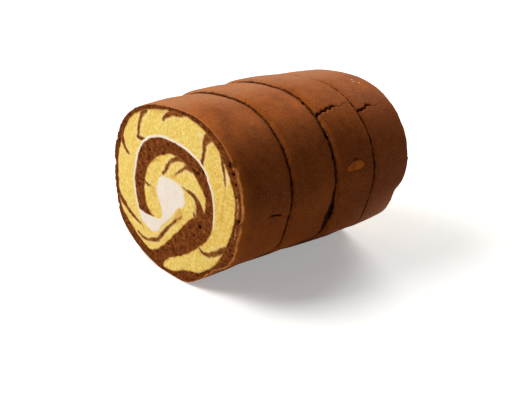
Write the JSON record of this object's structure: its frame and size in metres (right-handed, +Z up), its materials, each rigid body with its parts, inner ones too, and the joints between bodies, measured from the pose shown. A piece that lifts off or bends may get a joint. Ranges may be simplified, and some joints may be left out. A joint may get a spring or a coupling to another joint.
{
  "type": "swiss roll cake",
  "caption": "Swiss roll cake of chocolate and vanilla sponge rolled round cream, cut across into slices that lie together and rest on a small flat underside.",
  "frame": {"origin": "the middle of the roll's footprint, on the surface that it rests on", "axes": "+Z up; the roll lies along Y and its open swirl faces -Y; +X to the right of that cut face"},
  "size_m": [0.1038, 0.096, 0.0868],
  "materials": {
    "chocolate_sponge": "porous cut crumb, satin baked skin outside",
    "vanilla_sponge": "matte, fine pores, marbled with chocolate",
    "cream": "soft satin"
  },
  "bodies": {
    "root": {"chocolate_sponge_1": "chocolate_sponge", "vanilla_sponge_1": "vanilla_sponge", "cream_1": "cream", "chocolate_sponge_2": "chocolate_sponge", "vanilla_sponge_2": "vanilla_sponge", "cream_2": "cream", "chocolate_sponge_3": "chocolate_sponge", "vanilla_sponge_3": "vanilla_sponge", "cream_3": "cream", "chocolate_sponge_4": "chocolate_sponge", "vanilla_sponge_4": "vanilla_sponge", "cream_4": "cream"}
  },
  "joints": []
}
